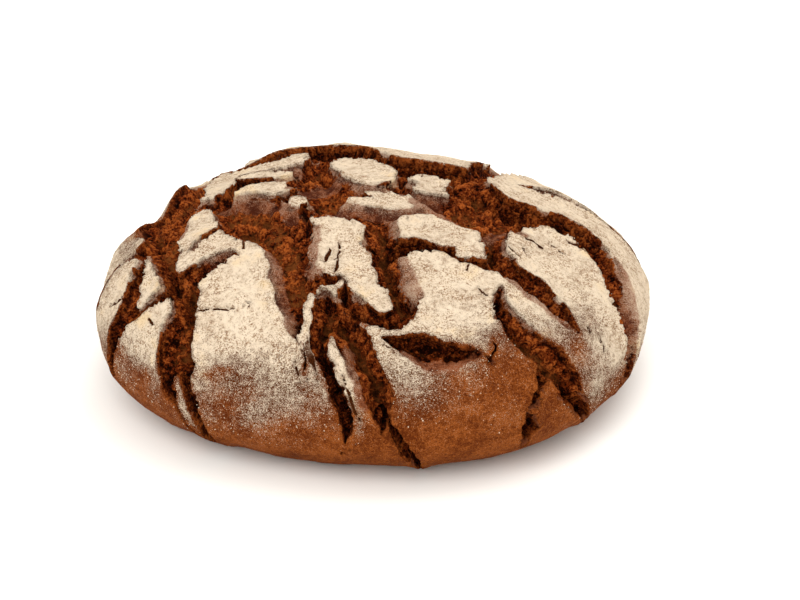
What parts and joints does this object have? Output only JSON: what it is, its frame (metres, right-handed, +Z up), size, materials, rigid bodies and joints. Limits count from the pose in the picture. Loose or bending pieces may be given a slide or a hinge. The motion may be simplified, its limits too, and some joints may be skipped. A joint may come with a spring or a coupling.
{
  "type": "rye bread loaf",
  "caption": "A whole round rye bread loaf with a domed, deeply torn, flour-dusted crust and a flat base that it rests on.",
  "frame": {"origin": "on the floor, under the middle of the loaf's box", "axes": "+Z up; -Y towards the side seen best, with the long front tears; +X to the right of that view"},
  "size_m": [0.2788, 0.2812, 0.1003],
  "materials": {
    "crust": "matte baked crust, dusted with flour above"
  },
  "bodies": {
    "root": {"loaf": "crust"}
  },
  "joints": []
}
